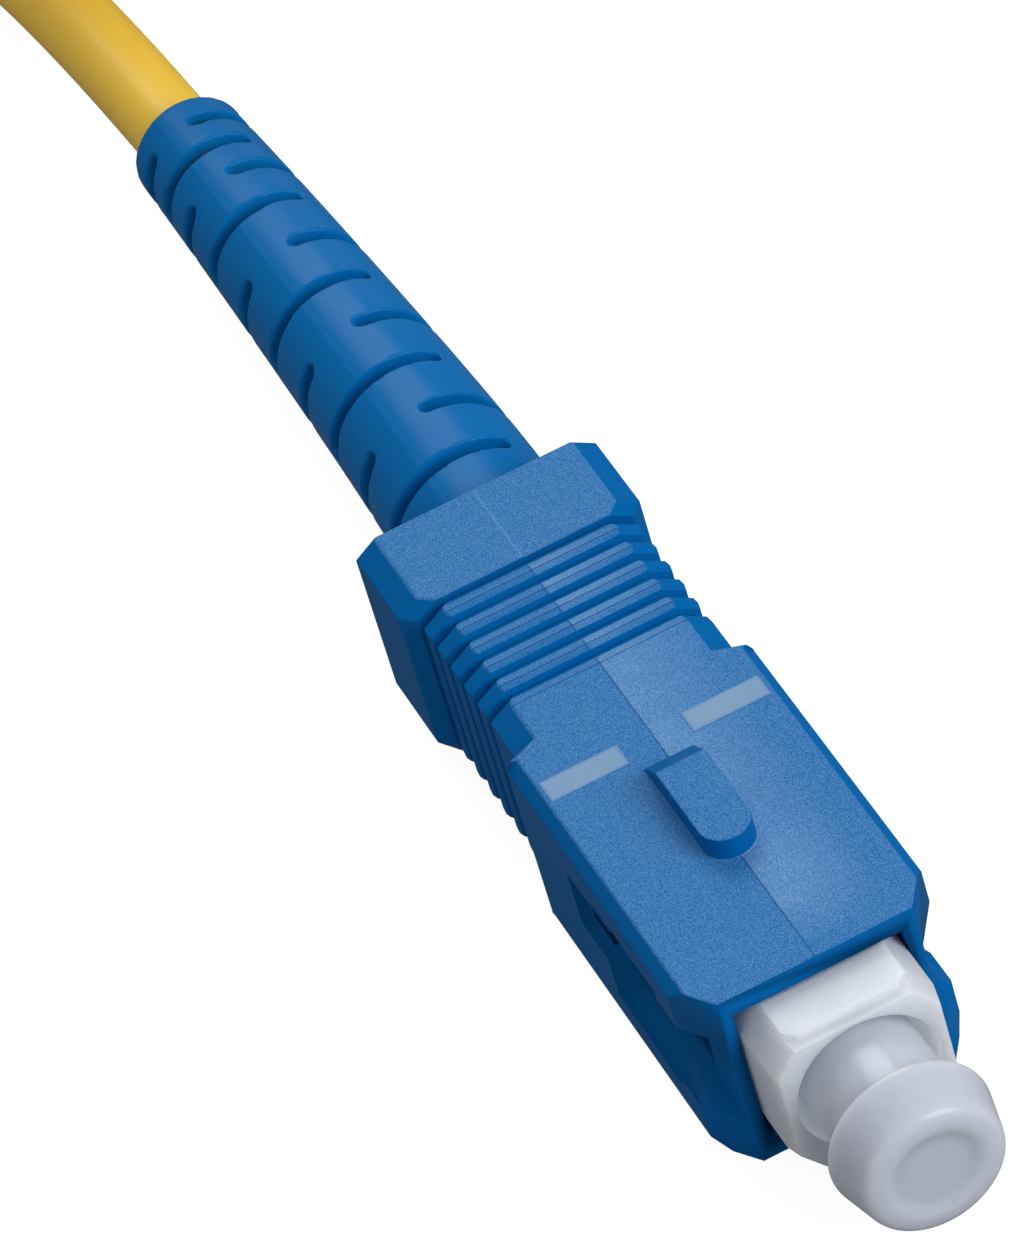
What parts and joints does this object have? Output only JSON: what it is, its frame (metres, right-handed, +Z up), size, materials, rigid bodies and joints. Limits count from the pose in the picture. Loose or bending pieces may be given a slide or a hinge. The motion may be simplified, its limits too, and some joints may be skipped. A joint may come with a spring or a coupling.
{
  "type": "sc simplex fibre optic plug",
  "caption": "Push-pull single-fibre plug with keyed sleeve, sprung ceramic ferrule, slotted boot, yellow cable and clear dust cap.",
  "frame": {"origin": "under the middle of the plug, from dust cap to boot tip, on the plane of the sleeve's flat underside", "axes": "+X along the ferrule towards the mating end, +Z up towards the key"},
  "size_m": [0.1067, 0.0365, 0.0192],
  "materials": {
    "housing_blue": "fine satin, moulded",
    "boot_blue": "soft satin, moulded",
    "frame_white": "moulded, slightly frosted",
    "ceramic_white": "polished ceramic",
    "nickel": "nickel plated, turned",
    "spring_steel": "drawn wire",
    "copper_alloy": "crimped, dull",
    "glass_core": "polished",
    "guide_clear": "waxy",
    "buffer_white": "smooth",
    "yarn_gold": "straight fibres",
    "jacket_yellow": "smooth",
    "cap_clear": "milky, translucent"
  },
  "bodies": {
    "plug": {"plug_frame": "frame_white", "back_body": "nickel", "float_spring": "spring_steel", "aramid_yarn": "yarn_gold", "crimp_sleeve": "copper_alloy", "tight_buffer": "buffer_white", "strain_boot": "boot_blue", "cable_jacket": "jacket_yellow", "cable_coil": "jacket_yellow"},
    "grip": {"grip_housing": "housing_blue"},
    "ferrule_unit": {"ferrule": "ceramic_white", "ferrule_flange": "nickel", "glass_fibre": "glass_core", "guide_tube": "guide_clear"},
    "cap": {"dust_cap": "cap_clear"}
  },
  "joints": [
    {"name": "grip_slide", "type": "slide", "parent": "plug", "child": "grip", "axis": [1, 0, 0], "range_m": [-0.0015, 0]},
    {"name": "ferrule_float", "type": "slide", "parent": "plug", "child": "ferrule_unit", "axis": [1, 0, 0], "range_m": [-0.001, 0], "stiffness_N_per_m": 1500, "springref_m": 0.006, "deforming": ["float_spring"]},
    {"name": "cap_pull", "type": "slide", "parent": "ferrule_unit", "child": "cap", "axis": [1, 0, 0], "range_m": [0, 0.02]}
  ]
}
